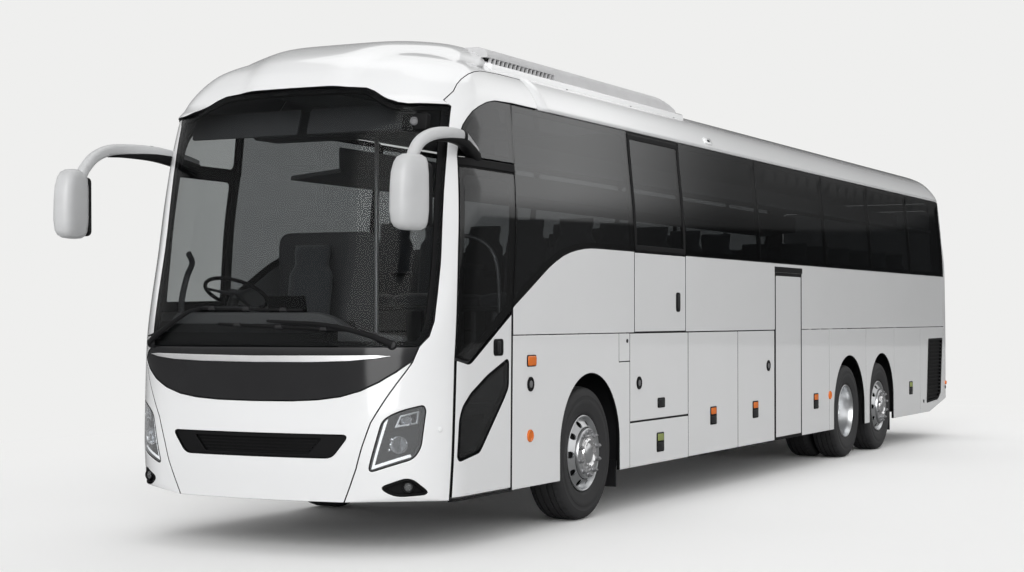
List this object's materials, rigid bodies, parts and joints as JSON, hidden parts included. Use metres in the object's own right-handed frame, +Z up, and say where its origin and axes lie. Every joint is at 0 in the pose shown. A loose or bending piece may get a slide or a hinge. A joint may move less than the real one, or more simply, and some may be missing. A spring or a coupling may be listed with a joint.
{
  "type": "three-axle coach bus",
  "caption": "Touring coach with hinged doors and luggage flaps, steered front wheels and rolling wheels on three axles.",
  "frame": {"origin": "on the ground, under the middle of the overall box", "axes": "+Z up, the front faces -Y, +X is the side with the passenger doors"},
  "size_m": [2.9336, 15.0233, 3.6448],
  "materials": {
    "paint": "gloss white paint",
    "glass": "dark tinted glass",
    "dark_plastic": "satin dark grey plastic",
    "frame_steel": "black coated steel",
    "tyre_rubber": "rubber",
    "rim_alloy": "polished",
    "floor_sheet": "vinyl sheet",
    "seat_cloth": "woven cloth",
    "grey_trim": "satin trim",
    "lamp_clear": "clear lens over bright reflectors",
    "lamp_red": "red lens"
  },
  "bodies": {
    "coach": {"chassis_frame": "frame_steel", "saloon_floor": "floor_sheet", "hold_floor": "floor_sheet", "engine": "frame_steel", "side_wall_left": "paint", "side_wall_right": "paint", "roof": "paint", "roof_pod": "dark_plastic", "front_cap": "paint", "front_mask": "paint", "apron_panel": "dark_plastic", "windscreen": "glass", "quarter_glass": "glass", "side_glass_left": "glass", "side_glass_right": "glass", "rear_wall": "paint", "rear_glass": "glass", "headlamps": "lamp_clear", "tail_lamps": "lamp_red", "mirrors": "paint", "wipers": "dark_plastic", "wheel_housings": "dark_plastic", "front_axle": "frame_steel", "drive_axle": "frame_steel", "tag_axle": "frame_steel", "seats_left": "seat_cloth", "seats_right": "seat_cloth", "driver_seat": "seat_cloth", "dashboard": "dark_plastic", "luggage_racks": "grey_trim"},
    "front_arm_body": {"front_door_arm": "frame_steel"},
    "front_door_body": {"front_door": "dark_plastic", "front_door_glass": "glass"},
    "mid_arm_body": {"mid_door_arm": "frame_steel"},
    "mid_door_body": {"mid_door": "paint"},
    "emergency_door_body": {"emergency_door": "paint", "emergency_door_glass": "glass"},
    "engine_lid_body": {"engine_lid": "paint"},
    "steering_wheel_body": {"steering_wheel": "dark_plastic"},
    "knuckle_left_body": {"knuckle_left": "frame_steel"},
    "knuckle_right_body": {"knuckle_right": "frame_steel"},
    "flap_left_1_body": {"luggage_flap_left_1": "paint"},
    "flap_left_2_body": {"luggage_flap_left_2": "paint"},
    "flap_left_3_body": {"luggage_flap_left_3": "paint"},
    "wheel_front_left_body": {"tyre_front_left": "tyre_rubber", "rim_front_left": "rim_alloy"},
    "wheel_drive_left_body": {"tyre_drive_left": "tyre_rubber", "rim_drive_left": "rim_alloy"},
    "wheel_tag_left_body": {"tyre_tag_left": "tyre_rubber", "rim_tag_left": "rim_alloy"},
    "flap_right_1_body": {"luggage_flap_right_1": "paint"},
    "flap_right_2_body": {"luggage_flap_right_2": "paint"},
    "flap_right_3_body": {"luggage_flap_right_3": "paint"},
    "wheel_front_right_body": {"tyre_front_right": "tyre_rubber", "rim_front_right": "rim_alloy"},
    "wheel_drive_right_body": {"tyre_drive_right": "tyre_rubber", "rim_drive_right": "rim_alloy"},
    "wheel_tag_right_body": {"tyre_tag_right": "tyre_rubber", "rim_tag_right": "rim_alloy"}
  },
  "joints": [
    {"name": "front_door_swing", "type": "hinge", "parent": "coach", "child": "front_arm_body", "pos_m": [1.12, -6.444, 0.9], "axis": [0, 0, -1], "range_deg": [0, 92]},
    {"name": "front_door_turn", "type": "hinge", "parent": "front_arm_body", "child": "front_door_body", "pos_m": [1.12, -5.899, 0.9], "axis": [0, 0, -1], "range_deg": [-92, 0]},
    {"name": "mid_door_swing", "type": "hinge", "parent": "coach", "child": "mid_arm_body", "pos_m": [1.12, 0.901, 0.9], "axis": [0, 0, 1], "range_deg": [0, 105]},
    {"name": "mid_door_turn", "type": "hinge", "parent": "mid_arm_body", "child": "mid_door_body", "pos_m": [1.12, 0.421, 0.9], "axis": [0, 0, 1], "range_deg": [-105, 0]},
    {"name": "emergency_door_hinge", "type": "hinge", "parent": "coach", "child": "emergency_door_body", "pos_m": [1.277, -3.454, 2], "axis": [0, 0, -1], "range_deg": [0, 100]},
    {"name": "flap_left_1_hinge", "type": "hinge", "parent": "coach", "child": "flap_left_1_body", "pos_m": [1.277, -2.898, 1.451], "axis": [0, -1, 0], "range_deg": [0, 85]},
    {"name": "flap_left_2_hinge", "type": "hinge", "parent": "coach", "child": "flap_left_2_body", "pos_m": [1.277, -1.588, 1.451], "axis": [0, -1, 0], "range_deg": [0, 85]},
    {"name": "flap_left_3_hinge", "type": "hinge", "parent": "coach", "child": "flap_left_3_body", "pos_m": [1.277, -0.404, 1.451], "axis": [0, -1, 0], "range_deg": [0, 85]},
    {"name": "flap_right_1_hinge", "type": "hinge", "parent": "coach", "child": "flap_right_1_body", "pos_m": [-1.277, -2.898, 1.451], "axis": [0, 1, 0], "range_deg": [0, 85]},
    {"name": "flap_right_2_hinge", "type": "hinge", "parent": "coach", "child": "flap_right_2_body", "pos_m": [-1.277, -1.588, 1.451], "axis": [0, 1, 0], "range_deg": [0, 85]},
    {"name": "flap_right_3_hinge", "type": "hinge", "parent": "coach", "child": "flap_right_3_body", "pos_m": [-1.277, -0.404, 1.451], "axis": [0, 1, 0], "range_deg": [0, 85]},
    {"name": "engine_lid_hinge", "type": "hinge", "parent": "coach", "child": "engine_lid_body", "pos_m": [0, 7.513, 1.414], "axis": [1, 0, 0], "range_deg": [0, 80]},
    {"name": "steer_left", "type": "hinge", "parent": "coach", "child": "knuckle_left_body", "pos_m": [0.96, -4.369, 0.522], "axis": [0, 0, 1], "range_deg": [-40, 40]},
    {"name": "steer_right", "type": "hinge", "parent": "coach", "child": "knuckle_right_body", "pos_m": [-0.96, -4.369, 0.522], "axis": [0, 0, 1], "range_deg": [-40, 40]},
    {"name": "steering_wheel_turn", "type": "hinge", "parent": "coach", "child": "steering_wheel_body", "pos_m": [-0.73, -6.269, 1.77], "axis": [0, 0.4695, 0.8829], "range_deg": [-720, 720]},
    {"name": "wheel_front_left_spin", "type": "hinge", "parent": "knuckle_left_body", "child": "wheel_front_left_body", "pos_m": [1.099, -4.369, 0.522], "axis": [1, 0, 0], "continuous": true},
    {"name": "wheel_front_right_spin", "type": "hinge", "parent": "knuckle_right_body", "child": "wheel_front_right_body", "pos_m": [-1.099, -4.369, 0.522], "axis": [1, 0, 0], "continuous": true},
    {"name": "wheel_drive_left_spin", "type": "hinge", "parent": "coach", "child": "wheel_drive_left_body", "pos_m": [1.099, 2.801, 0.522], "axis": [1, 0, 0], "continuous": true},
    {"name": "wheel_drive_right_spin", "type": "hinge", "parent": "coach", "child": "wheel_drive_right_body", "pos_m": [-1.099, 2.801, 0.522], "axis": [1, 0, 0], "continuous": true},
    {"name": "wheel_tag_left_spin", "type": "hinge", "parent": "coach", "child": "wheel_tag_left_body", "pos_m": [1.099, 4.151, 0.522], "axis": [1, 0, 0], "continuous": true},
    {"name": "wheel_tag_right_spin", "type": "hinge", "parent": "coach", "child": "wheel_tag_right_body", "pos_m": [-1.099, 4.151, 0.522], "axis": [1, 0, 0], "continuous": true}
  ],
  "couplings": [
    {"joint": "front_door_turn", "follows": "front_door_swing", "ratio": -1},
    {"joint": "mid_door_turn", "follows": "mid_door_swing", "ratio": -1},
    {"joint": "steer_right", "follows": "steer_left", "ratio": 1},
    {"joint": "steering_wheel_turn", "follows": "steer_left", "ratio": 18}
  ]
}
